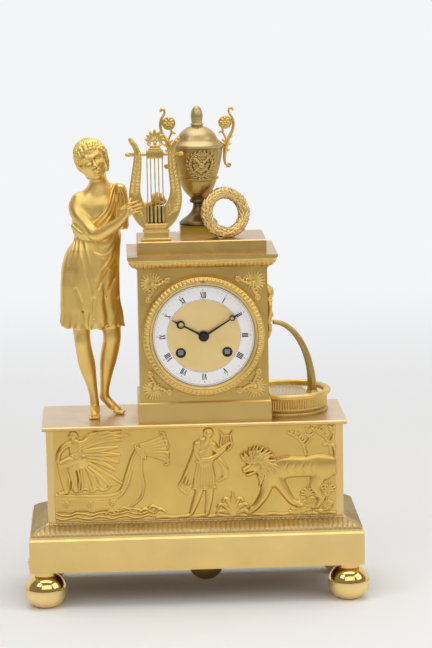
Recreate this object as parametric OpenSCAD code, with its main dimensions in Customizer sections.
// Gilt mantel clock. A youth with a lyre, a covered urn and a small fountain stand
// round a pedestal, which holds a striking movement with a half-second pendulum.
// Millimetres. +X is to the right, +Y to the back, +Z up.
// The origin lies on the floor under the middle of the base.

/* [Base] */
// Width of the base slab
slab_w = 290; // [280:1:310]
// Depth of the base slab
slab_d = 116; // [108:1:124]
// Height of the base slab
slab_h = 29.5; // [24:0.5:36]
// Wall of the base slab
slab_wall = 4; // [3:0.5:6]
// Largest radius of a bun foot
foot_r = 18.2; // [15:0.1:20]
// Height of the feet, from the floor to the slab
foot_h = 32.5; // [28:0.5:36]
// Radius of a foot's stud
stud_r = 3; // [2:0.1:4]
// Height of the leaf moulding on the slab
mould_h = 12.5; // [10:0.5:16]
// Width of the frieze box
frieze_w = 256.5; // [240:0.5:262]
// Depth of the frieze box
frieze_d = 84; // [80:1:90]
// Height of the frieze box
frieze_h = 80.5; // [70:0.5:90]
// Width of the plain strips at the ends of the frieze
strip_w = 6; // [4:0.5:10]
// Thickness of the sheet walls
wall = 3; // [2:0.5:4]
// Overhang of the top plate round the frieze box
top_over = 3.5; // [2:0.5:5]
// Thickness of the top plate
top_t = 3.4; // [2.5:0.1:5]

/* [Pedestal] */
// Sideways place of the pedestal's middle
ped_x = 9.5; // [0:0.5:14]
// Front to back place of the pedestal's middle
ped_y = -2; // [-4:0.5:0]
// Width of the pedestal case
case_w = 111; // [107:0.5:116]
// Depth of the pedestal case
case_d = 73; // [71:0.5:76]
// Height of the pedestal case
case_h = 115.2; // [110:0.2:122]
// Height of the step under the case
step_h = 18.4; // [14:0.2:24]
// Overhang of the step round the case
step_over = 2; // [1:0.5:3]
// Height of the leaf moulding of the cornice
cornice_h = 11; // [8:0.5:14]
// Overhang of the cornice
cornice_over = 8.7; // [6:0.1:11]
// Thickness of the cornice plate
cornice_t = 1.7; // [1:0.1:3]
// Width of the crown slab
crown_w = 110.5; // [100:0.5:118]
// Depth of the crown slab
crown_d = 62; // [56:0.5:66]
// Height of the crown slab
crown_h = 11.6; // [8:0.1:16]

/* [Dial] */
// Height of the dial's middle above the foot of the case
dial_up = 57.7; // [56:0.1:60]
// Outer radius of the bezel
bezel_r = 52.8; // [50:0.1:54]
// Height of the bezel off the case front
bezel_t = 7.5; // [6.5:0.1:9]
// Outer radius of the enamel chapter ring
chapter_r = 43.6; // [42:0.1:45]
// Inner radius of the chapter ring
chapter_in = 31.3; // [29:0.1:33]
// Thickness of the enamel
enamel_t = 1.6; // [1:0.1:2]
// Radius of a winding hole
wind_hole_r = 4; // [3.6:0.1:4.5]
// Sideways place of the winding squares
wind_u = 20; // [19.5:0.1:21]
// Depth of the winding squares below the dial's middle
wind_w = 14.3; // [13.5:0.1:15]
// Length of the minute hand from its middle
minute_len = 38.5; // [34:0.5:42]
// Length of the hour hand from its middle
hour_len = 31.5; // [24:0.5:34]
// Minute hand's angle from twelve, clockwise
minute_deg = 58; // [0:1:360]
// Hour hand's angle from twelve, clockwise
hour_deg = 298; // [0:1:360]

/* [Movement] */
// Radius of the movement plates
plate_r = 40; // [39.5:0.1:40.6]
// Thickness of the movement plates
plate_t = 2; // [1.5:0.1:2.5]
// Gap between the movement plates
plate_gap = 30; // [28:0.5:32]
// Radius of the barrel drums
drum_r = 13.6; // [12:0.1:13.9]
// Radius of the wheel arbors
arbor_r = 0.8; // [0.7:0.05:0.85]
// Radius of the pivots
pivot_r = 0.5; // [0.4:0.05:0.6]
// Running clearance in every pivot hole
run_gap = 0.05; // [0.02:0.01:0.08]
// Height of the pendulum's suspension above the dial's middle
hang_up = 34.1; // [33.5:0.1:34.6]
// Height of the regulator arbor above the dial's middle
reg_up = 47.7; // [47:0.1:48.4]
// Radius of the bell
bell_r = 26; // [23:0.5:27]

/* [Pendulum] */
// Length from the suspension to the bob's middle
pend_len = 248; // [240:1:252]
// Radius of the bob
bob_r = 15.5; // [12:0.1:17]
// Thickness of the bob
bob_t = 8; // [6:0.5:10]
// Radius of the pendulum rod
rod_r = 1; // [0.8:0.1:1.2]
// Front to back place of the pendulum
pend_y = 8; // [7.6:0.1:8.4]

/* [Figures and vessels] */
// Height of the youth, hair included
youth_h = 245.5; // [230:0.5:255]
// Sideways place of the youth
youth_x = -85; // [-92:0.5:-82]
// Sideways place of the lyre
lyre_x = -29.1; // [-32:0.1:-26]
// Front to back place of the lyre's middle plane
lyre_y = -27.5; // [-30:0.5:-26]
// Thickness of the lyre
lyre_t = 5; // [4:0.5:6]
// Sideways place of the urn
urn_x = 8.3; // [4:0.1:14]
// Front to back place of the urn
urn_y = -4; // [-8:0.5:0]
// Width of the urn's square plinth
plinth_w = 32.6; // [30:0.1:35]
// Height of the urn's square plinth
plinth_h = 10.6; // [8:0.1:13]
// Ring radius of the wreath
wreath_r = 17.5; // [15:0.1:20]
// Tube radius of the wreath
wreath_t = 4.6; // [3.5:0.1:5.5]
// Radius of the basin's tub
basin_r = 34.5; // [31:0.1:36]
// Radius of the basin's rim
rim_r = 38.6; // [36.5:0.1:40]
// Height of the basin's tub
basin_h = 16; // [12:0.5:20]

/* [Hidden] */
$fn = 64;

GILT = [0.80, 0.62, 0.28];
BRASS = [0.75, 0.60, 0.32];
STEEL = [0.25, 0.27, 0.32];
ENAMEL = [0.96, 0.96, 0.93];
SILK = [0.55, 0.45, 0.35];

// Heights, from the floor up
z_slab = foot_h;
z_mould = z_slab + slab_h;
z_frieze = z_mould + mould_h;
z_plate = z_frieze + frieze_h;
z_base = z_plate + top_t;
z_case = z_base + step_h;
z_cornice = z_case + case_h;
z_crown = z_cornice + cornice_h + cornice_t;
z_deck = z_crown + crown_h;
dial_z = z_case + dial_up;
top_w = frieze_w + 2 * top_over;
top_d = frieze_d + 2 * top_over + 2;
foot_x = slab_w / 2 - 13;
foot_y = slab_d / 2 - 13;
boss_r = 12;
boss_h = 5;

// Depths through the pedestal, front to back
y_front = ped_y - case_d / 2;
y_back = ped_y + case_d / 2;
flange_t = 4.5;
y_fp = y_front + flange_t;
y_fp_in = y_fp + plate_t;
y_bp_in = y_fp_in + plate_gap;
y_bp = y_bp_in + plate_t;
dial_back = y_front - 1.1;
dial_plate_t = 0.8;
y_enamel = dial_back - dial_plate_t - enamel_t;
y_disc = y_enamel + 0.3;
case_bore = plate_r + 4.6;
ring_out = case_bore - 0.3;
ring_in = plate_r - 4;

// Toothed wheels: numbers of teeth and module of each pair in mesh
great_n = 60;
second_pin_n = 10;
great_m = 0.48;
second_n = 60;
centre_pin_n = 10;
second_m = 0.42;
centre_n = 70;
third_pin_n = 7;
centre_m = 0.36;
third_n = 63;
escape_pin_n = 7;
third_m = 0.38;
escape_n = 40;
escape_r = 7.5;
cannon_n = 12;
minute_n = 36;
cannon_m = 0.5;
minute_pin_n = 10;
hour_n = 40;
hour_m = cannon_m * (cannon_n + minute_n) / (minute_pin_n + hour_n);
strike2_n = 56;
pin_pin_n = 7;
strike2_m = 0.4;
pin_n = 40;
fly_pin_n = 7;
pin_m = 0.34;

// Arbor places on the plates, as [sideways, up] from the dial's middle
function span(n1, n2, m) = m * (n1 + n2) / 2;
function polar(r, a) = [r * cos(a), r * sin(a)];
// The point at distance ra from a and rb from b, on the left of the way from a to b
function meet(a, ra, b, rb) =
    let (d = norm(b - a), e = (ra * ra - rb * rb + d * d) / (2 * d),
         h = sqrt(ra * ra - e * e), u = (b - a) / d)
    a + u * e + [-u[1], u[0]] * h;
function bearing(a, b) = atan2(b[1] - a[1], b[0] - a[0]);
p_centre = [0, 0];
p_hang = [0, hang_up];
p_escape = [0, hang_up - 12.1];
p_going = [wind_u, -wind_w];
p_strike = [-wind_u, -wind_w];
p_second = meet(p_centre, span(second_n, centre_pin_n, second_m),
                p_going, span(great_n, second_pin_n, great_m));
p_third = meet(p_centre, span(centre_n, third_pin_n, centre_m),
               p_escape, span(third_n, escape_pin_n, third_m));
p_minute = [0, -span(cannon_n, minute_n, cannon_m)];
p_strike2 = p_strike + polar(span(great_n, second_pin_n, great_m), 100);
p_pin = p_strike2 + polar(span(strike2_n, pin_pin_n, strike2_m), 120);
p_fly = p_pin + polar(span(pin_n, fly_pin_n, pin_m), 60);
p_hammer = p_strike2 + polar(13.7, 185);
pillar_degs = [0, 58, 112, 245, 295];
pillar_r = 2;

// Layers between the plates, as distances from the front plate's inner face
lay_centre = 1.5;
lay_great = 5;
lay_drum = 7;
drum_len = plate_gap - 14;
lay_second = lay_drum + drum_len + 1;
lay_third = plate_gap - 2.8;
lay_escape = plate_gap - 10;
wheel_t = 1.2;
great_t = 2;

// Front plan: x stays sideways, y of the 2D drawing goes up, and z comes to the front
module on_dial(p, y) {
    translate([ped_x + p[0], y, dial_z + p[1]]) rotate([90, 0, 0]) children();
}
// A round bar along Y from y0 to y1
module bar(p, y0, y1, r) {
    on_dial(p, y1) cylinder(r = r, h = y1 - y0);
}
// A flat shape drawn in the front plan, from y0 to y1
module slice(p, y0, y1) {
    on_dial(p, y1) linear_extrude(y1 - y0) children();
}
module ring2d(r1, r2) {
    difference() {
        circle(r1);
        circle(r2);
    }
}
// A block centred on x and y that stands at height z
module block(c, s) {
    translate([c[0] - s[0] / 2, c[1] - s[1] / 2, c[2]]) cube(s);
}

// A block whose sides follow a profile of [overhang, height] all the way round
module moulded(w, d, profile) {
    intersection() {
        rotate([90, 0, 0]) linear_extrude(3 * d, center = true) sides2d(w / 2, profile);
        rotate([90, 0, 90]) linear_extrude(3 * w, center = true) sides2d(d / 2, profile);
    }
}
module sides2d(half, profile) {
    n = len(profile);
    polygon(concat([for (p = profile) [half + p[0], p[1]]],
                   [for (i = [n - 1:-1:0]) [-half - profile[i][0], profile[i][1]]]));
}
// A smooth curve through points, with k steps between neighbours
function mix(p, t) = 0.5 * (2 * p[1] + (p[2] - p[0]) * t
    + (2 * p[0] - 5 * p[1] + 4 * p[2] - p[3]) * t * t
    + (3 * p[1] - p[0] - 3 * p[2] + p[3]) * t * t * t);
function pick(v, i) = v[min(max(i, 0), len(v) - 1)];
function smooth(v, k) = concat(
    [for (i = [0:len(v) - 2]) for (j = [0:k - 1])
        mix([pick(v, i - 1), v[i], v[i + 1], pick(v, i + 2)], j / k)],
    [v[len(v) - 1]]);
// A flat band of changing width along points of [x, y, half width]
function side(v, s) = [for (i = [0:len(v) - 1])
    let (a = pick(v, i - 1), b = pick(v, i + 1), d = [b[0] - a[0], b[1] - a[1]],
         n = [-d[1], d[0]] / norm(d))
    [v[i][0] + s * n[0] * v[i][2], v[i][1] + s * n[1] * v[i][2]]];
function flip(v) = [for (i = [len(v) - 1:-1:0]) v[i]];
module band2d(v) {
    polygon(concat(side(v, 1), flip(side(v, -1))));
}

// A closed skin over rings of equal count
module skin(rings) {
    n = len(rings[0]);
    m = len(rings);
    polyhedron([for (r = rings) each r], concat(
        [[for (i = [0:n - 1]) i]],
        [for (j = [0:m - 2]) for (i = [0:n - 1])
            [j * n + i, (j + 1) * n + i, (j + 1) * n + (i + 1) % n]],
        [for (j = [0:m - 2]) for (i = [0:n - 1])
            [j * n + i, (j + 1) * n + (i + 1) % n, j * n + (i + 1) % n]],
        [[for (i = [n - 1:-1:0]) (m - 1) * n + i]]));
}
// A limb of changing radius along points of [x, y, z, r]
function xyz(p) = [p[0], p[1], p[2]];
module limb(v, n = 12) {
    skin([for (i = [0:len(v) - 1])
        let (d = xyz(pick(v, i + 1)) - xyz(pick(v, i - 1)), t = d / norm(d),
             c = cross(t, [0, 1, 0]), u = c / norm(c), w = cross(t, u))
        [for (k = [0:n - 1]) let (a = 360 * k / n)
            xyz(v[i]) + v[i][3] * (u * cos(a) + w * sin(a))]]);
}

// Teeth that taper from root to tip; t is the tooth's share of the pitch
function teeth(n, m, add, ded, t) = [for (i = [0:n - 1])
    let (p = 360 / n, a = i * p, rr = m * (n / 2 - ded), rt = m * (n / 2 + add))
    each [polar(rr, a - p * (t / 2 + 0.06)), polar(rt, a - p * (t / 2 - 0.12)),
          polar(rt, a + p * (t / 2 - 0.12)), polar(rr, a + p * (t / 2 + 0.06))]];
module wheel2d(n, m) {
    r = m * n / 2 - 2.2 * m;
    difference() {
        polygon(teeth(n, m, 0.9, 0.9, 0.38));
        difference() {
            circle(r);
            circle(r * 0.3 + 0.4);
            for (a = [0:90:270]) rotate(a) translate([0, -0.6]) square([r + 1, 1.2]);
        }
    }
}
module pinion2d(n, m) {
    polygon(teeth(n, m, 0.5, 1.2, 0.36));
}
// A wheel at p that turns in mesh with the piece at q, with a tooth on the line to q
module wheel(p, q, n, m, y, t = wheel_t) {
    slice(p, y, y + t) rotate(bearing(p, q)) wheel2d(n, m);
}
// Its pinion, with a gap on that line
module pinion(p, q, n, m, y, t = 2.4) {
    slice(p, y, y + t) rotate(bearing(p, q) + 180 / n) pinion2d(n, m);
}
// An arbor between the plates, with its two pivots
module arbor(p, end_gap = 0.2) {
    bar(p, y_fp_in + end_gap, y_bp_in - end_gap, arbor_r);
    bar(p, y_fp + 0.2, y_bp - 0.2, pivot_r);
}

// Feet and base
module feet() {
    bun_c = foot_r - 3;
    color(GILT) for (x = [-1, 1], y = [-1, 1]) translate([x * foot_x, y * foot_y, 0]) {
        intersection() {
            rotate_extrude() union() {
                translate([3, bun_c - 0.6]) intersection() {
                    circle(bun_c);
                    translate([0, -foot_r]) square([foot_r, 2 * foot_r]);
                }
                square([3, 2 * bun_c - 0.6]);
            }
            cylinder(r = foot_r + 1, h = foot_h);
        }
        translate([0, 0, foot_h - 6]) cylinder(r = 9.5, h = 6);
        cylinder(r = stud_r, h = foot_h + boss_h + 7);
    }
}

module foot_nuts() {
    color(BRASS) for (x = [-1, 1], y = [-1, 1])
        translate([x * foot_x, y * foot_y, z_slab + boss_h]) difference() {
            cylinder(r = stud_r + 3, h = 4.5, $fn = 6);
            translate([0, 0, -1]) cylinder(r = stud_r + run_gap, h = 7);
        }
}

slab_edge = 1.5;
module base_slab() {
    color(GILT) difference() {
        union() {
            difference() {
                translate([0, 0, z_slab]) moulded(slab_w, slab_d,
                    [[0, 0], [0, slab_h - slab_edge], [-slab_edge, slab_h]]);
                block([0, 0, z_slab - 1],
                      [slab_w - 2 * slab_wall, slab_d - 2 * slab_wall, slab_h + 1 - wall]);
                block([0, 0, z_slab], [frieze_w - 40, frieze_d - 24, slab_h + 1]);
            }
            for (x = [-1, 1], y = [-1, 1]) translate([x * foot_x, y * foot_y, z_slab])
                intersection() {
                    cylinder(r = boss_r, h = boss_h);
                    block([-x * (boss_r - slab_wall), -y * (boss_r - slab_wall), 0],
                          [3 * boss_r, 3 * boss_r, boss_h]);
                }
        }
        for (x = [-1, 1], y = [-1, 1]) translate([x * foot_x, y * foot_y, z_slab - 1])
            cylinder(r = stud_r + run_gap, h = boss_h + 2);
    }
}

// A small fillet, then an S-shaped curve that sweeps in to the frieze box
function ogee(h, reach, k = 8) = concat([[reach, 0]], [for (i = [0:k]) let (t = i / k)
    [reach * (0.5 + 0.5 * cos(180 * t)), h * (0.15 + 0.85 * t)]]);
module base_moulding() {
    // The slab's top stands out further at the ends than at the front
    reach_x = slab_w / 2 - slab_edge - frieze_w / 2;
    reach_y = slab_d / 2 - slab_edge - frieze_d / 2;
    ledge = 4;
    color(GILT) difference() {
        translate([0, 0, z_mould]) intersection() {
            rotate([90, 0, 0]) linear_extrude(2 * slab_d, center = true)
                sides2d(frieze_w / 2, ogee(mould_h, reach_x));
            rotate([90, 0, 90]) linear_extrude(2 * slab_w, center = true)
                sides2d(frieze_d / 2, ogee(mould_h, reach_y));
        }
        block([0, 0, z_mould - 1], [frieze_w - 2 * (wall + ledge), frieze_d - 2 * (wall + ledge),
                                    mould_h + 2]);
    }
}

module frieze_box() {
    proud = 1;
    color(GILT) difference() {
        union() {
            block([0, 0, z_frieze], [frieze_w, frieze_d, frieze_h]);
            for (x = [-1, 1]) translate([x * (frieze_w - strip_w) / 2 - strip_w / 2,
                                         -frieze_d / 2 - proud, z_frieze])
                cube([strip_w, proud + 1, frieze_h]);
        }
        block([0, 0, z_frieze - 1], [frieze_w - 2 * wall, frieze_d - 2 * wall, frieze_h + 2]);
    }
}

module frieze_relief() {
    t = 1;
    w = frieze_w - 2 * strip_w;
    color(GILT) translate([-w / 2, -frieze_d / 2 - t, z_frieze]) cube([w, t, frieze_h]);
}

// The opening that the pendulum swings in, cut through a plate
module swing_slot(z, h) {
    reach = 10 + rod_r;
    translate([ped_x - reach, pend_y - 4, z]) cube([2 * reach, 8, h]);
}
module base_top_plate() {
    edge = 0.8;
    color(GILT) difference() {
        translate([0, 0, z_plate]) moulded(top_w, top_d,
            [[-edge, 0], [0, edge], [0, top_t - edge], [-edge, top_t]]);
        swing_slot(z_plate - 1, top_t + 2);
    }
}

// Pedestal
module pedestal_step() {
    w = case_w + 2 * step_over;
    d = case_d + 2 * step_over;
    color(GILT) difference() {
        translate([ped_x, ped_y, z_base]) moulded(w, d,
            [[0, 0], [0, step_h - 1.2], [-1.2, step_h]]);
        block([ped_x, ped_y, z_base - 1],
              [w - 2 * wall - 2 * step_over, d - 2 * wall - 2 * step_over, step_h + 2]);
    }
}

module pedestal_case() {
    color(GILT) difference() {
        block([ped_x, ped_y, z_case], [case_w, case_d, case_h]);
        block([ped_x, ped_y, z_case - 1], [case_w - 2 * wall, case_d - 2 * wall, case_h + 2]);
        bar(p_centre, y_front - 1, y_back + 1, case_bore);
        bar([0, reg_up], y_front - 1, y_front + wall + 1, 1.8);
    }
}

module cornice() {
    reach = cornice_over;
    h = cornice_h;
    color(GILT) difference() {
        translate([ped_x, ped_y, z_cornice]) intersection() {
            moulded(case_w, case_d, concat([[0, 0], [0.6, 0], [0.6, 1.2], [1.4, 1.2]],
                [for (i = [0:8]) let (t = i / 8)
                    [1.4 + (reach - 2.2) * sin(90 * t), 1.6 + (h - 2.6) * t]],
                [[reach, h - 1], [reach, h + cornice_t]]));
            // The back is flat, a little behind the case
            translate([-case_w, -case_d, -1])
                cube([2 * case_w, case_d * 1.5 + 0.3, h + cornice_t + 2]);
        }
        block([ped_x, ped_y, z_cornice - 1], [case_w - 2 * wall, case_d - 2 * wall, h - 1]);
    }
}

crown_y = y_front + 1 + crown_d / 2;
module crown_slab() {
    color(GILT) difference() {
        translate([ped_x, crown_y, z_crown]) moulded(crown_w, crown_d,
            [[0, 0], [0, crown_h - 0.8], [-0.8, crown_h]]);
        block([ped_x, crown_y, z_crown - 1],
              [crown_w - 2 * wall, crown_d - 2 * wall, crown_h + 1 - wall]);
    }
}

// A fan of petals with a pair of scrolls, pointing up, with its heart at the origin
module palmette2d(r) {
    for (a = [-72:24:72]) rotate(-a) translate([0, r * 0.2]) {
        w = r * 0.13;
        len = r * (0.80 - 0.16 * abs(a) / 72);
        translate([0, len - w]) circle(w);
        polygon([[-w * 0.5, 0], [w * 0.5, 0], [w, len - w], [-w, len - w]]);
    }
    circle(r * 0.3);
    for (s = [-1, 1]) translate([s * r * 0.38, -r * 0.2]) circle(r * 0.2);
}
module corner_palmettes() {
    r = 14.5;
    inset = 12;
    color(GILT) for (sx = [-1, 1], sz = [-1, 1])
        on_dial([sx * (case_w / 2 - inset), z_corner(sz, inset)], y_front) linear_extrude(2)
            rotate(sz > 0 ? -sx * 45 : 180 + sx * 45) translate([0, -1]) palmette2d(r * 0.9);
}
function z_corner(s, inset) = s > 0 ? case_h - dial_up - inset : inset - dial_up;

// Fountain on the right flank
flank_x = ped_x + case_w / 2;
step_x = flank_x + step_over;
mask_y = 0;
mask_z = dial_z + 12;
mouth = [flank_x + 6.5, mask_y, dial_z + 3.3];
basin_x = step_x + 16.5;
basin_y = 7.5;
water_z = z_base + basin_h - 1;
module side_mask() {
    color(GILT) intersection() {
        translate([flank_x, mask_y, mask_z]) union() {
            // Face, brow, nose and the hanging beard and headcloth
            scale([5, 8.5, 14]) sphere(1, $fn = 24);
            scale([4.2, 12.5, 25]) sphere(1, $fn = 24);
            limb([[3.5, 0, 4, 1.4], [6, 0, -3, 2.2], [4.8, 0, -5, 2]], 8);
            for (y = [-7:3.5:7])
                limb([[3, y * 0.8, -10, 1.6], [3.2, y, -17, 1.8], [1.2, y * 0.6, -24, 1.2]], 6);
            for (s = [-1, 1])
                limb([[3.5, s * 5, 13, 2], [3.2, s * 10, 4, 2], [1.6, s * 11, -12, 1.6]], 6);
        }
        translate([flank_x, mask_y - 20, mask_z - 30]) cube([20, 40, 60]);
    }
}

jet_foot = [mouth[0] + 34, mask_y + 4, water_z];
function jet(t) = let (a = 90 * t)
    [mouth[0] + (jet_foot[0] - mouth[0]) * sin(a), mouth[1] + (jet_foot[1] - mouth[1]) * t,
     jet_foot[2] + 4 + (mouth[2] - jet_foot[2] - 4) * cos(a), 2 + 1.6 * t];
module water_jet() {
    color(GILT) difference() {
        union() {
            limb(concat([for (i = [0:14]) jet(i / 14)],
                        [[jet_foot[0], jet_foot[1], jet_foot[2], 3.9]]), 12);
            translate(jet_foot) cylinder(r = 5.4, h = 1);
        }
        translate([flank_x - 20, -40, mask_z - 40]) cube([20 + 6.2, 80, 80]);
    }
}

// The round tub is cut flat where it meets the step
module tub2d(r, inset) {
    intersection() {
        circle(r);
        translate([step_x + 0.2 - basin_x + inset, -2 * r]) square([4 * r, 4 * r]);
    }
}
module basin() {
    n_ribs = 72;
    color(GILT) translate([basin_x, basin_y, z_base]) difference() {
        union() {
            linear_extrude(basin_h) tub2d(basin_r, 0);
            linear_extrude(2) tub2d(basin_r + 1.2, 0);
            intersection() {
                translate([0, 0, basin_h + 1.2]) rotate_extrude()
                    translate([rim_r - 2.6, 0]) circle(2.6);
                linear_extrude(2 * basin_h) tub2d(rim_r + 1, 0);
            }
            translate([0, 0, basin_h - 2]) linear_extrude(4) tub2d(rim_r - 2.6, 0);
        }
        translate([0, 0, 2]) linear_extrude(2 * basin_h) tub2d(basin_r - 2, 2);
    }
}
module basin_water() {
    color(GILT) translate([basin_x, basin_y, z_base + 2])
        linear_extrude(basin_h - 3) tub2d(basin_r - 2.1, 2.1);
}

// Youth: places are in the figure's own frame, at the photographed pose, for this height
YOUTH_H = 245.5;
module figure() {
    s = youth_h / YOUTH_H;
    color(GILT) difference() {
        translate([youth_x, 0, z_base]) scale(s) {
            tunic();
            head();
            arms();
            legs();
        }
        // The soles are flat on the plate
        translate([youth_x - 100, -100, z_base - 20]) cube([200, 200, 20]);
    }
}
// Rings of the tunic as [height, middle x, half width, half depth, depth of the folds]
TUNIC = [[80, -2, 27, 16, 1.6], [82, -2, 27, 16.4, 1.6], [100, -2, 26.5, 17, 1.4],
    [116, -1.7, 26, 17.5, 1.0], [130, -0.6, 25.2, 17, 0.8], [143, 2, 22.6, 16, 0.6],
    [154, 5.4, 19.6, 14.6, 0.3], [158, 6, 19.6, 14.6, 0.3], [162, 5.4, 21.4, 16.2, 0.5],
    [170, 5, 22, 16.6, 0.6], [178, 6, 21.2, 16, 0.4], [188, 9, 21.5, 14.5, 0.4],
    [196, 10, 21, 12, 0.4], [201, 9.5, 16, 10, 0], [205, 8, 9.5, 8.5, 0]];
module tunic() {
    n = 28;
    skin([for (r = TUNIC) [for (k = [0:n - 1]) let (a = 360 * k / n)
        [r[1] + (r[2] + r[4] * cos(a * 7)) * cos(a),
         (r[3] + r[4] * cos(a * 7)) * sin(a), r[0]]]]);
}
module head() {
    translate([1.7, -2, 227.6]) rotate([0, -10, 0]) {
        scale([13.4, 15, 18.2]) sphere(1, $fn = 24);
        translate([-0.2, 1.8, 3.2]) scale([15, 16.6, 15.4]) sphere(1, $fn = 24);
        translate([1, 15, -5]) scale([7, 6, 7]) sphere(1, $fn = 16);
        limb([[0, -12, 2, 1.5], [0, -16.6, -3.5, 2], [0, -14, -5.6, 1.6]], 8);
        limb([[0, -10, -13, 3.2], [0, -13, -15.2, 3], [0, -10, -17, 2]], 8);
    }
    limb([[8, 0, 196, 9.5], [6.6, -0.5, 206, 7.8], [4.8, -0.8, 216, 7.7]], 16);
}
// A finger or toe between two points
module digit(a, b, r = 1.3) {
    hull() {
        translate(a) sphere(r, $fn = 8);
        translate(b) sphere(r * 0.75, $fn = 8);
    }
}
module arms() {
    // Right arm, across the body to the lyre, with its fingers over the lyre's arm
    limb([[-11, 1, 197, 6], [-12, -1, 190, 8.6], [-8, -7, 178, 8.2], [-1, -15, 166, 6.8],
          [2.6, -20, 161, 6]]);
    limb([[0, -18, 159.5, 4], [3, -20.4, 161.6, 6.2], [13, -26, 171, 6.2],
          [24, -32, 178.6, 4.2], [29, -34.8, 182.4, 3.6], [34, -35.4, 186, 3.8],
          [38, -35.4, 188, 3]]);
    for (i = [0:3])
        digit([37.6, -35.2, 190.4 - 2.1 * i], [45.6 - 0.5 * i, -34.4, 192.4 - 2.5 * i]);
    digit([34.6, -35, 189.4], [39, -33.9, 194.6]);
    // Left arm in its sleeve, behind the lyre
    limb([[22, 1, 200, 6], [25, 1, 195, 8.4], [27, -1, 181, 7.8], [27.4, -3, 168, 7.4],
          [27.4, -4, 161, 7]]);
    limb([[28, -4, 171, 5.6], [38, -10, 178, 5], [49, -16, 186, 3.8], [55, -18.6, 190, 3.9],
          [58, -19.4, 192, 3.4]]);
    for (i = [0:3]) digit([57 + 1.6 * i, -20, 194 - 1.2 * i], [59 + 1.8 * i, -21, 200.6 - 1.4 * i]);
    digit([55, -20, 193], [53.6, -21, 198.6]);
}
module legs() {
    limb([[-10, 1, 96, 11], [-10.5, 0, 80, 8], [-9.6, -0.5, 65, 7.2], [-7.3, 0, 52, 7.9],
          [-5.5, 0.5, 41, 7], [-3.4, 0.6, 31, 5.4], [-1.6, 0.8, 20, 4.2], [-0.6, 1.5, 12, 4.6],
          [-0.4, 2, 2, 5]]);
    limb([[-0.4, 5, 4.4, 4.4], [-0.6, -2, 6, 5], [-0.8, -9, 3.4, 4.6], [-1, -14, 2.2, 3.4],
          [-1, -16, 2, 2]], 10);
    limb([[13, 4, 96, 12], [15, 4, 80, 9], [16, 4, 68, 7.6], [13.6, 6, 58, 8.2],
          [11, 7, 46, 7.2], [9, 8, 34, 5.5], [8.2, 9, 24, 4.4], [8, 10, 17, 4.6]]);
    limb([[7.4, 11, 14.5, 4], [9, 10, 13.6, 4.8], [15, 8, 7.6, 4.6], [20, 6, 3, 4],
          [24, 4.6, 1.6, 2.4]], 10);
}

// Lyre, drawn about its own axis from the deck up
LYRE_OUT = [[-21.2, 89.5], [-19.8, 85], [-18.2, 79], [-18, 74], [-19.2, 65], [-20.7, 56],
    [-22, 44], [-22.6, 34], [-21.8, 26], [-18.2, 16.5], [-10.6, 8]];
LYRE_IN = [[-5, 29.4], [-9.5, 32], [-12.3, 38], [-13.5, 47], [-13.3, 56], [-12.2, 65],
    [-11.7, 74], [-12.6, 80], [-15.6, 86], [-19.8, 89.8]];
yoke_z = 74;
box_z = 15.4;
module lyre2d() {
    half = concat([[0, 8]], flip(smooth(LYRE_OUT, 3)), flip(smooth(LYRE_IN, 3)), [[0, 29.4]]);
    difference() {
        for (s = [0, 1]) mirror([s, 0]) polygon(half);
        translate([-9, box_z]) square([18, 20]);
    }
}
module on_lyre() {
    translate([lyre_x, lyre_y, z_deck]) rotate([90, 0, 0]) children();
}
module lyre_frame() {
    color(GILT) difference() {
        union() {
            on_lyre() linear_extrude(lyre_t, center = true) lyre2d();
            on_lyre() linear_extrude(lyre_t + 3, center = true)
                polygon([[-12.8, 0], [12.8, 0], [12.8, 1.4], [11, 3], [11, 8], [-11, 8],
                         [-11, 3], [-12.8, 1.4]]);
            on_lyre() linear_extrude(lyre_t + 1.6, center = true)
                translate([-9.8, 11]) square([19.6, 3.4]);
        }
        translate([lyre_x - 30, lyre_y, z_deck + yoke_z]) rotate([0, 90, 0])
            cylinder(r = 1.35, h = 60);
    }
}
module lyre_yoke() {
    color(GILT) {
        translate([lyre_x - 24, lyre_y, z_deck + yoke_z]) rotate([0, 90, 0])
            cylinder(r = 1.3, h = 48);
        for (s = [-1, 1]) translate([lyre_x + s * 22.5, lyre_y, z_deck + yoke_z])
            rotate([0, 90, 0]) rotate_extrude($fn = 24) intersection() {
                circle(2.3);
                translate([0, -5]) square([5, 10]);
            }
        block([lyre_x, lyre_y, z_deck + yoke_z - 3.5], [15.4, lyre_t + 1, 7]);
        on_lyre() linear_extrude(2.4, center = true) translate([0, yoke_z + 8]) {
            translate([0, 0.6]) palmette2d(14);
            translate([-5.5, -5]) square([11, 4]);
        }
    }
}
module lyre_strings() {
    low = z_deck + box_z;
    high = z_deck + yoke_z - 3.5;
    color(BRASS) for (x = [-6.6, -3.6, 0, 3.2, 6.6]) translate([lyre_x + x, lyre_y, low]) {
        cylinder(r = 0.45, h = high - low, $fn = 16);
        translate([-0.9, -1, 0]) cube([1.8, 2, 14]);
    }
}

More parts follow.
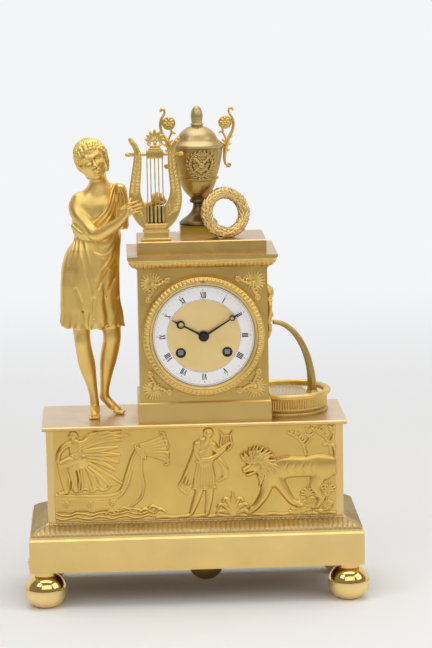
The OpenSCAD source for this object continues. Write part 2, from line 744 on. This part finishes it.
// Urn, as [radius, height over the deck]
urn_rim = 20.6;
URN_FOOT = [[13.2, 0], [13.2, 1.2], [11.2, 3], [7.2, 6.6], [4.2, 11], [3.3, 15.6], [4.4, 18.6],
    [6.3, 20], [6.3, 21.6], [4.8, 22.6], [5.4, 23.6]];
URN_BODY = [[5.4, 23.6], [6.4, 24.6], [9.2, 28], [12.8, 32.2], [15.4, 36], [15.6, 38.4],
    [17, 39.4], [17, 41.2], [16, 42], [17.9, 51], [19.3, 60.2], [20, 65], [20.6, 67]];
URN_LID = [[urn_rim + 0.4, 67], [urn_rim + 0.4, 69.6], [19.2, 70.4], [18, 72.6], [16.6, 75.4],
    [13.6, 79], [9.6, 82.4], [5.4, 84.6], [3.9, 85.4], [4.7, 86.4], [4.7, 88], [3.8, 88.8],
    [4.6, 90.6], [5.1, 93], [4.6, 97], [3, 100.4], [1.2, 102], [0.01, 101.72]];
module turned(profile, z0) {
    rotate_extrude() polygon(concat([[0, profile[0][1] + z0]],
        [for (p = profile) [p[0], p[1] + z0]], [[0, profile[len(profile) - 1][1] + z0]]));
}
module on_urn() {
    translate([urn_x, urn_y, z_deck]) children();
}
module urn_foot() {
    color(GILT) on_urn() {
        block([0, 0, 0], [plinth_w, plinth_w, plinth_h]);
        turned(URN_FOOT, plinth_h);
    }
}
module urn_body() {
    color(GILT) on_urn() turned(URN_BODY, plinth_h);
}
module urn_lid() {
    color(GILT) on_urn() turned(URN_LID, plinth_h);
}
// One handle as a scrolled stem, from its lower curl to its top curl
HANDLE = [[25.8, 61.3, 1.2], [23.6, 66, 1.4], [23.9, 73, 1.6], [25, 80, 1.8], [28.2, 88, 1.5],
    [31.4, 94, 1.4], [32, 101, 1.3], [29.6, 107.6, 1.1]];
module handle2d() {
    band2d(smooth(HANDLE, 4));
    translate([25.8, 61.3]) circle(2.3);
    translate([29, 108.6]) circle(2.2);
    translate([24.4, 97.4]) ring2d(5.6, 3.6);
    translate([24.4, 97.4]) circle(2);
    band2d([[24.4, 97.4, 0.8], [27, 92.4, 0.9], [28.6, 89, 0.9]]);
    translate([20, 78.4]) square([6, 3]);
}
module urn_handles() {
    t = 3.2;
    color(GILT) on_urn() difference() {
        for (s = [0, 1]) mirror([s, 0, 0]) rotate([90, 0, 0]) linear_extrude(t, center = true)
            handle2d();
        translate([0, 0, 40]) cylinder(r = urn_rim + 0.45, h = 100);
    }
}

// The wreath leans back against the plinth and stands on the deck
module wreath() {
    lean = 14;
    yaw = 20;
    c = [urn_x + plinth_w / 2 + 7.5, urn_y - plinth_w / 2 + 1,
         z_deck + wreath_r * cos(lean) + wreath_t - 0.5];
    color(GILT) difference() {
        translate(c) rotate([90 - lean, 0, yaw]) rotate_extrude() translate([wreath_r, 0])
            circle(wreath_t);
        block([c[0], c[1], z_deck - 20], [80, 80, 20]);
        on_urn() block([0, 0, -1], [plinth_w + 0.4, plinth_w + 0.4, plinth_h + 1.2]);
        on_urn() turned([for (p = URN_FOOT) [p[0] + 0.2, p[1]]], plinth_h);
    }
}

// Dial side
module bezel() {
    color(GILT) on_dial(p_centre, y_front) difference() {
        rotate_extrude($fn = 96) {
            translate([chapter_r + 0.3, 0]) square([bezel_r - chapter_r - 0.3, 1.6]);
            polygon([[chapter_r + 0.3, 0], [bezel_r - 0.6, 0], [bezel_r - 0.6, 3],
                     [bezel_r - 2.2, bezel_t - 1.2], [bezel_r - 3.4, bezel_t],
                     [chapter_r + 2.4, bezel_t], [chapter_r + 1.6, bezel_t - 1],
                     [chapter_r + 0.3, 4.4]]);
        }
        translate([0, reg_up, -1]) cylinder(r = 1.3 + run_gap, h = bezel_t + 2);
    }
}
module wind_holes(r) {
    for (s = [-1, 1]) translate([s * wind_u, -wind_w]) circle(r);
}
module dial_plate() {
    color(BRASS) {
        slice(p_centre, dial_back - dial_plate_t, dial_back) difference() {
            circle(chapter_r);
            circle(3);
            wind_holes(wind_hole_r);
        }
        for (a = [30, 150, 270]) bar(polar(ring_in - 3, a), dial_back, y_fp, 1.2);
    }
}
module dial_ring() {
    color(ENAMEL) slice(p_centre, y_enamel, dial_back - dial_plate_t)
        ring2d(chapter_r, chapter_in);
}
module dial_centre() {
    color(GILT) {
        slice(p_centre, y_disc, dial_back - dial_plate_t) difference() {
            circle(chapter_in - 0.1);
            circle(3);
            wind_holes(wind_hole_r);
        }
        for (s = [-1, 1]) slice([s * wind_u, -wind_w], y_disc - 0.5, y_disc)
            ring2d(wind_hole_r + 1, wind_hole_r);
    }
}
cannon_r = 1.75;
pipe_r = 2.6;
hand_t = 0.6;
y_hour = y_enamel - 1;
y_minute = y_hour - 1.2;
// A hand with a pierced moon near its tip
module moon_hand2d(len, moon_c, moon_r, hub_r, bore) {
    difference() {
        union() {
            circle(hub_r);
            polygon([[-1, 0], [1, 0], [0.5, moon_c], [-0.5, moon_c]]);
            translate([0, moon_c]) circle(moon_r);
            polygon([[-0.9, moon_c + moon_r * 0.9], [0.9, moon_c + moon_r * 0.9], [0, len]]);
        }
        circle(bore);
        translate([0, moon_c - moon_r * 0.1]) circle(moon_r * 0.62);
    }
}
module hour_hand() {
    color(STEEL) slice(p_centre, y_hour - hand_t, y_hour) rotate(-hour_deg)
        moon_hand2d(hour_len, hour_len * 0.705, 3.6, 4.6, pipe_r);
}
module minute_hand() {
    color(STEEL) slice(p_centre, y_minute - hand_t, y_minute) rotate(-minute_deg)
        moon_hand2d(minute_len, minute_len * 0.758, 2.6, 3.4, cannon_r);
}
module hand_collet() {
    color(BRASS) on_dial(p_centre, y_minute - hand_t) difference() {
        rotate_extrude() polygon([[0, 0], [2.4, 0], [2.4, 0.5], [1.6, 1.1], [0, 1.1]]);
        translate([0, 0, -1]) cylinder(r = 1, h = 1.6);
    }
}

// Movement frame
module movement_ring() {
    color(BRASS) difference() {
        union() {
            bar(p_centre, y_front, y_fp, ring_out);
            bar(p_centre, dial_back, y_front + 1, chapter_r);
        }
        bar(p_centre, dial_back - 1, y_fp + 1, ring_in);
    }
}
// Every arbor that turns in the plates, with the radius of its hole
module plate_holes(y0, y1, front) {
    for (p = [p_second, p_third, p_escape, p_pin, p_fly])
        bar(p, y0, y1, pivot_r + run_gap);
    for (p = [p_going, p_strike])
        bar(p, y0, y1, (front ? wind_r : 2) + run_gap);
    bar(p_centre, y0, y1, (front ? 1 : pivot_r) + run_gap);
    bar(p_hang, y0, y1, (front ? pivot_r : 1) + run_gap);
    bar(p_hammer, y0, y1, (front ? pivot_r : 1) + run_gap);
    bar(p_strike2, y0, y1, (front ? pivot_r : 1) + run_gap);
}
wind_half = 2.2;
wind_r = wind_half * 1.45;
module front_plate() {
    color(BRASS) difference() {
        bar(p_centre, y_fp, y_fp_in, plate_r);
        plate_holes(y_fp - 1, y_fp_in + 1, true);
        bar(p_minute, y_fp - 1, y_fp_in + 1, 1);
    }
}
module back_plate() {
    color(BRASS) difference() {
        union() {
            bar(p_centre, y_bp_in, y_bp, plate_r);
            for (a = pillar_degs) bar(polar(plate_r - 3.5, a), y_fp_in, y_bp_in, pillar_r);
        }
        plate_holes(y_bp_in - 1, y_bp + 1, false);
    }
}
strap_deg = 20;
strap_in = plate_r + 1;
strap_out = ring_out - 0.8;
module each_strap() {
    for (a = [-strap_deg, 180 + strap_deg]) on_dial(p_centre, y_back) rotate(a) children();
}
rear_t = 2;
module case_straps() {
    mid = (strap_in + strap_out) / 2;
    color(BRASS) each_strap() {
        difference() {
            translate([strap_in, -4, 0]) cube([strap_out - strap_in, 8, y_back - y_fp]);
            translate([mid, 0, -1]) cylinder(r = 0.85, h = 9);
        }
        // Screw through the rear ring
        translate([mid, 0, -rear_t]) cylinder(r = 0.8, h = rear_t + 6);
        translate([mid, 0, -rear_t - 1.2]) cylinder(r = 1.4, h = 1.2);
    }
}

// Rear door on its hinge
door_r = plate_r + 0.4;
y_rear = y_back + rear_t;
hinge_u = -(door_r + 5);
hinge_y = y_rear + 2;
knuckle_r = 1.6;
hinge_pin_r = 0.8;
module knuckle(w0, w1) {
    translate([ped_x + hinge_u, hinge_y, dial_z + w0]) cylinder(r = knuckle_r, h = w1 - w0);
}
module rear_ring() {
    mid = (strap_in + strap_out) / 2;
    color(BRASS) {
        difference() {
            union() {
                bar(p_centre, y_back, y_rear, -hinge_u + 2.4);
                for (s = [-1, 1]) translate([ped_x + hinge_u - 1.2, y_rear,
                                             dial_z + s * 4.6 - 1.4]) cube([2.4, 2, 2.8]);
                for (s = [-1, 1]) knuckle(s * 4.6 - 1.4, s * 4.6 + 1.4);
            }
            bar(p_centre, y_back - 1, y_rear + 1, plate_r - 3);
            each_strap() translate([mid, 0, -rear_t - 1]) cylinder(r = 0.85, h = rear_t + 2);
            translate([ped_x + hinge_u, hinge_y, dial_z - 8])
                cylinder(r = hinge_pin_r + 0.01, h = 16);
        }
        translate([ped_x + hinge_u, hinge_y, dial_z - 6.4]) cylinder(r = hinge_pin_r, h = 12.8);
    }
}
module rear_door() {
    y0 = y_rear + 0.3;
    color(BRASS) difference() {
        union() {
            on_dial(p_centre, y0) rotate([180, 0, 0]) rotate_extrude() polygon([
                [0, 8], [14, 7.4], [26, 5.4], [34, 2.2], [36.6, 1.1], [door_r, 1.1], [door_r, 0],
                [36, 0], [33.4, 1.2], [25.6, 4.4], [13.8, 6.4], [0, 7]]);
            bar([door_r - 3, 0], y0 + 1, y0 + 5, 1.6);
            knuckle(-3, 3);
            translate([ped_x + hinge_u, y0, dial_z - 3]) cube([-hinge_u - door_r + 3, 1.1, 6]);
        }
        translate([ped_x + hinge_u, hinge_y, dial_z - 8])
            cylinder(r = hinge_pin_r + run_gap, h = 16);
    }
}

// Going train
module barrel(p, q) {
    color(BRASS) difference() {
        union() {
            slice(p, y_fp_in + lay_great, y_fp_in + lay_great + great_t)
                rotate(bearing(p, q)) polygon(teeth(great_n, great_m, 0.9, 0.9, 0.38));
            bar(p, y_fp_in + lay_drum, y_fp_in + lay_drum + drum_len, drum_r);
        }
        bar(p, y_fp_in, y_bp_in, 2.5 + run_gap);
    }
}
module winding_arbor(p) {
    y_sq = y_disc + 0.8;
    color(STEEL) {
        bar(p, y_fp_in + 0.2, y_bp_in - 0.2, 2.5);
        bar(p, y_fp - 0.4, y_fp_in + 0.2, wind_r);
        bar(p, y_bp_in - 0.2, y_bp - 0.2, 2);
        slice(p, y_fp - 1.4, y_fp - 0.4) polygon([for (i = [0:23])
            each [polar(5.6, i * 15), polar(6.6, i * 15 + 2)]]);
        slice(p, y_sq, y_fp - 1.4) square(2 * wind_half, center = true);
    }
}
module going_barrel() {
    barrel(p_going, p_second);
}
module going_arbor() {
    winding_arbor(p_going);
}
module strike_barrel() {
    barrel(p_strike, p_strike2);
}
module strike_arbor() {
    winding_arbor(p_strike);
}
module second_wheel() {
    color(BRASS) {
        arbor(p_second);
        wheel(p_second, p_centre, second_n, second_m, y_fp_in + lay_second);
        pinion(p_second, p_going, second_pin_n, great_m, y_fp_in + lay_great - 0.3);
    }
}
module centre_wheel() {
    color(BRASS) {
        bar(p_centre, y_fp_in + 0.2, y_bp_in - 0.2, arbor_r + 0.2);
        bar(p_centre, y_minute - hand_t - 0.1, y_fp_in + 0.2, 1);
        bar(p_centre, y_bp_in - 0.3, y_bp - 0.2, pivot_r);
        wheel(p_centre, p_third, centre_n, centre_m, y_fp_in + lay_centre);
        pinion(p_centre, p_second, centre_pin_n, second_m, y_fp_in + lay_second - 0.6);
    }
}
module third_wheel() {
    color(BRASS) {
        arbor(p_third);
        pinion(p_third, p_centre, third_pin_n, centre_m, y_fp_in + lay_centre - 0.6);
        wheel(p_third, p_escape, third_n, third_m, y_fp_in + lay_third);
    }
}
module escape_wheel() {
    y = y_fp_in + lay_escape;
    color(BRASS) {
        arbor(p_escape);
        pinion(p_escape, p_third, escape_pin_n, third_m, y_fp_in + lay_third - 0.5, 2.2);
        slice(p_escape, y, y + wheel_t) difference() {
            polygon([for (i = [0:escape_n - 1]) let (a = i * 360 / escape_n)
                each [polar(escape_r, a), polar(escape_r - 1.2, a + 2.5)]]);
            difference() {
                circle(escape_r - 2.2);
                circle(2);
                for (a = [0:90:270]) rotate(a) translate([0, -0.5]) square([escape_r, 1]);
            }
        }
    }
}
// The anchor's arbor lies on the pendulum's axis; its pallets ride clear of the teeth
module anchor() {
    y = y_fp_in + lay_escape - 0.3;
    drop = norm(p_hang - p_escape);
    clear = escape_r + 1.2;
    color(STEEL) {
        bar(p_hang, y_fp_in + 0.2, y_bp_in - 0.2, 1);
        bar(p_hang, y_fp + 0.2, y_fp_in + 0.3, pivot_r);
        bar(p_hang, y_bp_in - 0.3, y_bp + 4, 1);
        slice(p_hang, y, y + 1.8) {
            circle(1.8);
            for (s = [-1, 1]) {
                tip = [s * clear * sin(42), -drop + clear * cos(42)];
                polygon([[0, 1.2], [s * 1, -0.4], tip + [s * 2.2, -0.6], tip + [s * 0.9, -1.6],
                         tip, [0, -drop + clear + 1.1]]);
            }
        }
        // Crutch, with the fork that holds the pendulum rod
        slice(p_hang, y_bp + 2.4, y_bp + 3.4) {
            circle(2.2);
            translate([-0.8, -30]) square([1.6, 30]);
            translate([-2.4, -31]) square([4.8, 2]);
        }
        for (s = [-1, 1]) bar(p_hang + [s * (rod_r + 0.85), -30], y_bp + 3, pend_y + 2, 0.5);
    }
}

// Pendulum and its suspension
module suspension_cock() {
    w_hole = reg_up - hang_up;
    y_far = pend_y + 3;
    color(BRASS) difference() {
        union() {
            slice(p_hang, y_bp, y_bp + 1.8) translate([-5, 2.9]) square([10, w_hole + 1.1]);
            slice(p_hang, y_far, y_far + 1.8) translate([-5, w_hole - 3]) square([10, 7]);
            slice(p_hang, y_bp, y_far + 1.8) translate([-5, w_hole + 3]) square([10, 2]);
            slice(p_hang, y_bp + 1, y_far) translate([-4, 4]) square([8, 1.6]);
        }
        translate([ped_x, pend_y, dial_z + hang_up]) cylinder(r = 1.6, h = 8);
        bar([0, reg_up], y_bp - 1, y_far + 3, 1.3 + run_gap);
    }
}
spool_r = 1.9;
module silk_suspension() {
    high = reg_up - hang_up - spool_r - 0.3;
    color(SILK) translate([ped_x, pend_y, dial_z + hang_up]) {
        for (s = [-1, 1]) translate([s * 1, 0, -0.25]) cylinder(r = 0.25, h = high + 0.25, $fn = 16);
        for (z = [0, high]) translate([-1, 0, z]) rotate([0, 90, 0])
            cylinder(r = 0.25, h = 2, $fn = 16);
    }
}
module regulator_arbor() {
    color(STEEL) {
        bar([0, reg_up], y_front - bezel_t + 1.5, pend_y + 5, 1.3);
        bar([0, reg_up], pend_y - 1.5, pend_y + 1.5, spool_r);
        slice([0, reg_up], y_front - bezel_t - 0.5, y_front - bezel_t + 1.5)
            square(1.8, center = true);
    }
}
module pendulum_rod() {
    color(BRASS) translate([ped_x, pend_y, dial_z + hang_up]) {
        rotate([0, 90, 0]) translate([0, 0, -0.4]) difference() {
            cylinder(r = 1.8, h = 0.8);
            translate([0, 0, -1]) cylinder(r = 0.8, h = 3);
        }
        translate([0, 0, -pend_len]) cylinder(r = rod_r, h = pend_len - 1.2);
    }
}
module pendulum_bob() {
    // Two shallow domes back to back on a thin edge
    dome = (bob_t - 1) / 2;
    dome_r = (bob_r * bob_r + dome * dome) / (2 * dome);
    color([0.45, 0.33, 0.16])
        translate([ped_x, pend_y, dial_z + hang_up - pend_len]) difference() {
            rotate([90, 0, 0]) for (s = [0, 1]) mirror([0, 0, s]) intersection() {
                translate([0, 0, 0.5 + dome - dome_r]) sphere(dome_r, $fn = 96);
                cylinder(r = bob_r, h = bob_t);
            }
            cylinder(r = rod_r + 0.02, h = bob_r + 1);
        }
}

// Motion work behind the dial
lay_cannon = 3;
module cannon_pinion() {
    y = y_fp - lay_cannon;
    color(BRASS) difference() {
        union() {
            pinion(p_centre, p_minute, cannon_n, cannon_m, y, 2);
            bar(p_centre, y_minute - hand_t, y_fp - 1, cannon_r);
        }
        bar(p_centre, y_minute - hand_t - 1, y_fp + 1, 1.02);
    }
}
module minute_wheel() {
    y = y_fp - lay_cannon;
    color(BRASS) {
        bar(p_minute, y_fp - 1, y_fp_in - 0.2, 1 - run_gap);
        wheel(p_minute, p_centre, minute_n, cannon_m, y + 0.4);
        pinion(p_minute, p_centre, minute_pin_n, hour_m, y - 2, 2.5);
        bar(p_minute, y, y_fp - 0.2, 1.6);
    }
}
module hour_wheel() {
    y = y_fp - lay_cannon - 1.7;
    color(BRASS) difference() {
        union() {
            slice(p_centre, y, y + wheel_t) rotate(bearing(p_centre, p_minute))
                polygon(teeth(hour_n, hour_m, 0.9, 0.9, 0.38));
            bar(p_centre, y_hour - hand_t, y + wheel_t, pipe_r);
        }
        bar(p_centre, y_hour - 2, y_fp, cannon_r + run_gap);
    }
}

// Strike train; the count wheel rides outside the back plate
BLOWS = [for (h = [1:12]) each [h, 1]];
function total(i) = i < 0 ? 0 : BLOWS[i] + total(i - 1);
module strike_second_wheel() {
    notch = 360 / total(len(BLOWS) - 1);
    y = y_bp + 0.5;
    color(BRASS) {
        arbor(p_strike2);
        bar(p_strike2, y_bp_in - 0.3, y + 1.2, 1);
        wheel(p_strike2, p_pin, strike2_n, strike2_m, y_fp_in + lay_second);
        pinion(p_strike2, p_strike, second_pin_n, great_m, y_fp_in + lay_great - 0.3);
        slice(p_strike2, y, y + 1) difference() {
            circle(10.5);
            for (i = [0:len(BLOWS) - 1]) rotate(total(i) * notch) translate([9.3, -0.3])
                square([2, 0.6]);
            for (a = [45:90:315]) rotate(a) translate([5, 0]) circle(2.2);
        }
    }
}
lay_pin = 10;
module pin_wheel() {
    y = y_fp_in + lay_pin;
    color(BRASS) {
        arbor(p_pin);
        pinion(p_pin, p_strike2, pin_pin_n, strike2_m, y_fp_in + lay_second - 0.6);
        wheel(p_pin, p_fly, pin_n, pin_m, y);
        for (a = [0:45:315]) bar(p_pin + polar(pin_m * pin_n / 2 - 1.1, a), y + 1, y + 3, 0.35);
    }
}
module fly() {
    y = y_fp_in + lay_pin - 0.6;
    color(BRASS) {
        arbor(p_fly);
        pinion(p_fly, p_pin, fly_pin_n, pin_m, y);
        slice(p_fly, y + 7, y + 15) square([10.6, 0.8], center = true);
    }
}

// Hammer, bell and bell stand
// The bell's mouth faces the back plate
bell_y = pend_y + 6;
bell_h = 16;
head_r = 2.4;
p_head = polar(bell_r + head_r + 1, 150);
module hammer() {
    d = p_head - p_hammer;
    color(STEEL) {
        arbor(p_hammer);
        bar(p_hammer, y_bp_in - 0.3, bell_y + 5, 1);
        slice(p_hammer, bell_y + 2, bell_y + 3.6) {
            circle(2);
            rotate(bearing([0, 0], d)) translate([0, -0.7]) square([norm(d), 1.4]);
        }
        bar(p_head, bell_y + 0.4, bell_y + 5.4, head_r);
        slice(p_hammer, y_fp_in + lay_pin + 2, y_fp_in + lay_pin + 3.4)
            rotate(60) translate([0, -0.8]) square([6, 1.6]);
    }
}
p_stand = [17, -30];
post_r = 1.5;
// Half the outline of a bell with its mouth at height 0
function dome(r, h, k = 12) = [for (i = [0:k]) let (a = 90 * i / k)
    [r * cos(a), h * pow(sin(a), 0.8)]];
module bell() {
    shell = 1.2;
    color(BRASS) {
        on_dial(p_centre, bell_y) rotate([180, 0, 0]) difference() {
            rotate_extrude() difference() {
                polygon(concat([[0, 0]], dome(bell_r, bell_h)));
                polygon(concat([[0, -1], [bell_r - shell, -1]],
                               dome(bell_r - shell, bell_h - shell)));
            }
            translate([0, 0, bell_h - 4]) cylinder(r = post_r + run_gap, h = 8);
        }
        // Stand: foot on the back plate, arm behind the pendulum, post through the bell
        bar(p_stand, y_bp, y_bp + 1.5, 3);
        bar(p_stand, y_bp, bell_y - 2.8, post_r);
        slice(p_stand, bell_y - 4.2, bell_y - 2.8)
            rotate(bearing(p_stand, p_centre)) translate([0, -1.6])
                square([norm(p_stand), 3.2]);
        bar(p_centre, bell_y - 4.2, bell_y - 2.8, 2.4);
        bar(p_centre, bell_y - 3, bell_y + bell_h + 2, post_r);
        on_dial(p_centre, bell_y + bell_h + 1.8) cylinder(r = 3, h = 1.8, $fn = 6);
    }
}

feet();
foot_nuts();
base_slab();
base_moulding();
frieze_box();
frieze_relief();
base_top_plate();
pedestal_step();
pedestal_case();
cornice();
crown_slab();
corner_palmettes();
side_mask();
water_jet();
basin();
basin_water();
figure();
lyre_frame();
lyre_yoke();
lyre_strings();
urn_foot();
urn_body();
urn_lid();
urn_handles();
wreath();
bezel();
dial_plate();
dial_ring();
dial_centre();
hour_hand();
minute_hand();
hand_collet();
movement_ring();
front_plate();
back_plate();
case_straps();
rear_ring();
rear_door();
going_barrel();
going_arbor();
second_wheel();
centre_wheel();
third_wheel();
escape_wheel();
anchor();
suspension_cock();
silk_suspension();
regulator_arbor();
pendulum_rod();
pendulum_bob();
cannon_pinion();
minute_wheel();
hour_wheel();
strike_barrel();
strike_arbor();
strike_second_wheel();
pin_wheel();
fly();
hammer();
bell();
